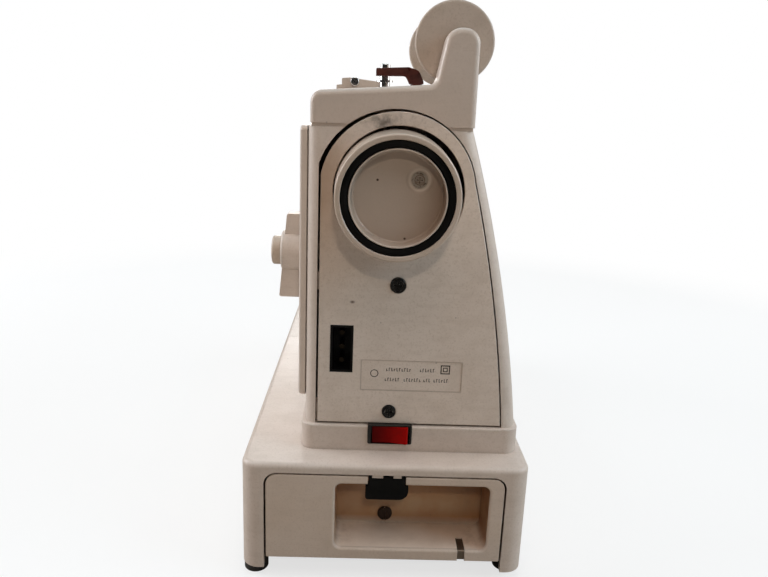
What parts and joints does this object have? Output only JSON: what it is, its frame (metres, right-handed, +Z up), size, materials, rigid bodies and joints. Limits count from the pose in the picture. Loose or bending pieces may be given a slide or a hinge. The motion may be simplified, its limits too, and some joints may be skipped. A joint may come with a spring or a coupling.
{
  "type": "sewing machine",
  "caption": "Free-arm household sewing machine with handwheel, spool pin, bobbin winder, drive belt, needle mechanism, accessory drawer and slide-off extension table.",
  "frame": {"origin": "centre of the bed's footprint on the table top", "axes": "+X along the bed towards the handwheel, +Y from the operator's side to the rear, +Z up"},
  "size_m": [0.4186, 0.18, 0.3553],
  "materials": {
    "cream_plastic": "satin moulded plastic",
    "black_plastic": "glossy moulded plastic",
    "red_plastic": "glossy moulded plastic",
    "brown_plastic": "moulded plastic",
    "black_screws": "blackened steel",
    "brown_screw": "browned steel",
    "steel": "brushed",
    "chrome": "polished",
    "bronze": "sintered",
    "casting": "cast",
    "motor_paint": "stove enamel",
    "rubber": "matte",
    "glass": "clear"
  },
  "bodies": {
    "frame": {"base_shell": "cream_plastic", "bottom_plate": "black_plastic", "rubber_feet": "rubber", "free_arm": "casting", "needle_plate": "chrome", "arm_body": "cream_plastic", "arm_frame": "casting", "shaft_bushes": "bronze", "top_cover": "cream_plastic", "control_panel": "cream_plastic", "end_cover": "cream_plastic", "machine_screws": "black_screws", "socket_block": "black_plastic", "socket_pins": "steel", "switch_bezel": "black_plastic", "drive_belt": "rubber", "timing_belt": "rubber", "motor_body": "motor_paint", "bobbin_case": "chrome", "tension_discs": "chrome", "lamp_holder": "black_plastic", "lamp_bulb": "glass", "spool_pin": "steel", "spool_disc": "cream_plastic", "winder_guide": "cream_plastic", "winder_guide_disc": "chrome"},
    "handwheel": {"handwheel_rim": "cream_plastic", "handwheel_ring": "black_plastic", "main_shaft": "steel", "shaft_pulleys": "casting", "crank_disc": "steel"},
    "clutch": {"clutch_knob": "cream_plastic", "clutch_screw": "steel"},
    "motor_rotor": {"motor_pulley": "steel"},
    "hook_shaft": {"lower_shaft": "steel", "rotary_hook": "chrome"},
    "bobbin_reel": {"bobbin": "steel"},
    "needle_carrier": {"needle_bar": "chrome", "needle_clamp": "steel", "needle": "chrome", "needle_bar_link": "steel"},
    "take_up": {"take_up_lever": "chrome"},
    "presser": {"presser_bar": "chrome", "presser_foot": "chrome"},
    "lifter": {"presser_lifter": "steel"},
    "feed": {"feed_dog": "steel"},
    "length_knob": {"stitch_length_knob": "cream_plastic"},
    "reverse": {"reverse_button": "cream_plastic"},
    "width_dial": {"stitch_width_dial": "cream_plastic"},
    "tension_knob": {"tension_dial": "black_plastic"},
    "face": {"face_cover": "cream_plastic"},
    "thread_cap": {"spool_cap": "cream_plastic"},
    "winder": {"winder_spindle": "chrome"},
    "winder_stop": {"winder_lever": "brown_plastic"},
    "rocker": {"switch_rocker": "red_plastic"},
    "drawer": {"accessory_drawer": "cream_plastic", "niche_screw": "brown_screw"},
    "latch": {"drawer_latch": "black_plastic"},
    "table": {"extension_table": "cream_plastic"},
    "flap": {"bobbin_flap": "cream_plastic"}
  },
  "joints": [
    {"name": "handwheel_spin", "type": "hinge", "parent": "frame", "child": "handwheel", "pos_m": [0.19, 0, 0.2452], "axis": [1, 0, 0], "continuous": true},
    {"name": "clutch_turn", "type": "hinge", "parent": "handwheel", "child": "clutch", "pos_m": [0.2, 0, 0.2452], "axis": [1, 0, 0], "range_deg": [0, 120]},
    {"name": "motor_spin", "type": "hinge", "parent": "frame", "child": "motor_rotor", "pos_m": [0.168, 0.035, 0.14], "axis": [1, 0, 0], "continuous": true},
    {"name": "hook_spin", "type": "hinge", "parent": "frame", "child": "hook_shaft", "pos_m": [-0.03, 0, 0.052], "axis": [1, 0, 0], "continuous": true},
    {"name": "bobbin_spin", "type": "hinge", "parent": "frame", "child": "bobbin_reel", "pos_m": [-0.175, 0, 0.052], "axis": [1, 0, 0], "continuous": true},
    {"name": "needle_bar_stroke", "type": "slide", "parent": "frame", "child": "needle_carrier", "axis": [0, 0, -1], "range_m": [0, 0.033]},
    {"name": "take_up_swing", "type": "hinge", "parent": "frame", "child": "take_up", "pos_m": [-0.149, -0.03, 0.235], "axis": [1, 0, 0], "range_deg": [0, 50.1]},
    {"name": "lifter_swing", "type": "hinge", "parent": "frame", "child": "lifter", "pos_m": [-0.15, 0.048, 0.185], "axis": [0, -1, 0], "range_deg": [0, 60]},
    {"name": "presser_lift", "type": "slide", "parent": "frame", "child": "presser", "axis": [0, 0, 1], "range_m": [0, 0.0071]},
    {"name": "feed_travel", "type": "slide", "parent": "frame", "child": "feed", "axis": [0, 1, 0], "range_m": [-0.002, 0.002]},
    {"name": "stitch_length_turn", "type": "hinge", "parent": "frame", "child": "length_knob", "pos_m": [0.13, -0.066, 0.1983], "axis": [0, -1, 0], "range_deg": [-60, 60]},
    {"name": "reverse_press", "type": "slide", "parent": "length_knob", "child": "reverse", "axis": [0, 1, 0], "range_m": [0, 0.0045], "stiffness_N_per_m": 300, "springref_m": -0.002},
    {"name": "stitch_width_turn", "type": "hinge", "parent": "frame", "child": "width_dial", "pos_m": [0.04, -0.063, 0.24], "axis": [0, -1, 0], "range_deg": [-90, 90]},
    {"name": "tension_turn", "type": "hinge", "parent": "frame", "child": "tension_knob", "pos_m": [-0.125, -0.064, 0.215], "axis": [0, -1, 0], "range_deg": [-150, 150]},
    {"name": "face_cover_swing", "type": "hinge", "parent": "frame", "child": "face", "pos_m": [-0.1972, 0.0456, 0.225], "axis": [0, 0, -1], "range_deg": [0, 110]},
    {"name": "spool_cap_pull", "type": "slide", "parent": "frame", "child": "thread_cap", "axis": [-1, 0, 0], "range_m": [0, 0.04]},
    {"name": "winder_spin", "type": "hinge", "parent": "frame", "child": "winder", "pos_m": [0.145, -0.0087, 0.305], "axis": [0, 0, 1], "continuous": true},
    {"name": "winder_lever_swing", "type": "hinge", "parent": "frame", "child": "winder_stop", "pos_m": [0.158, 0.0099, 0.305], "axis": [0, 0, 1], "range_deg": [0, 25]},
    {"name": "light_switch_rock", "type": "hinge", "parent": "frame", "child": "rocker", "pos_m": [0.182, 0.002, 0.0916], "axis": [0, 0, 1], "range_deg": [0, 12]},
    {"name": "drawer_slide", "type": "slide", "parent": "frame", "child": "drawer", "axis": [1, 0, 0], "range_m": [0, 0.1]},
    {"name": "latch_press", "type": "slide", "parent": "drawer", "child": "latch", "axis": [0, 0, -1], "range_m": [0, 0.003], "stiffness_N_per_m": 400, "springref_m": -0.001},
    {"name": "table_slide", "type": "slide", "parent": "frame", "child": "table", "axis": [-1, 0, 0], "range_m": [0, 0.18]},
    {"name": "bobbin_flap_swing", "type": "hinge", "parent": "table", "child": "flap", "pos_m": [-0.2075, 0.004, 0.0364], "axis": [0, -1, 0], "range_deg": [0, 90]}
  ],
  "couplings": [
    {"joint": "motor_spin", "follows": "handwheel_spin", "ratio": 4.2857},
    {"joint": "hook_spin", "follows": "handwheel_spin", "ratio": 2},
    {"joint": "take_up_swing", "follows": "needle_bar_stroke", "rad_per_m": 26.4},
    {"joint": "presser_lift", "follows": "lifter_swing", "m_per_rad": 0.0066845}
  ]
}
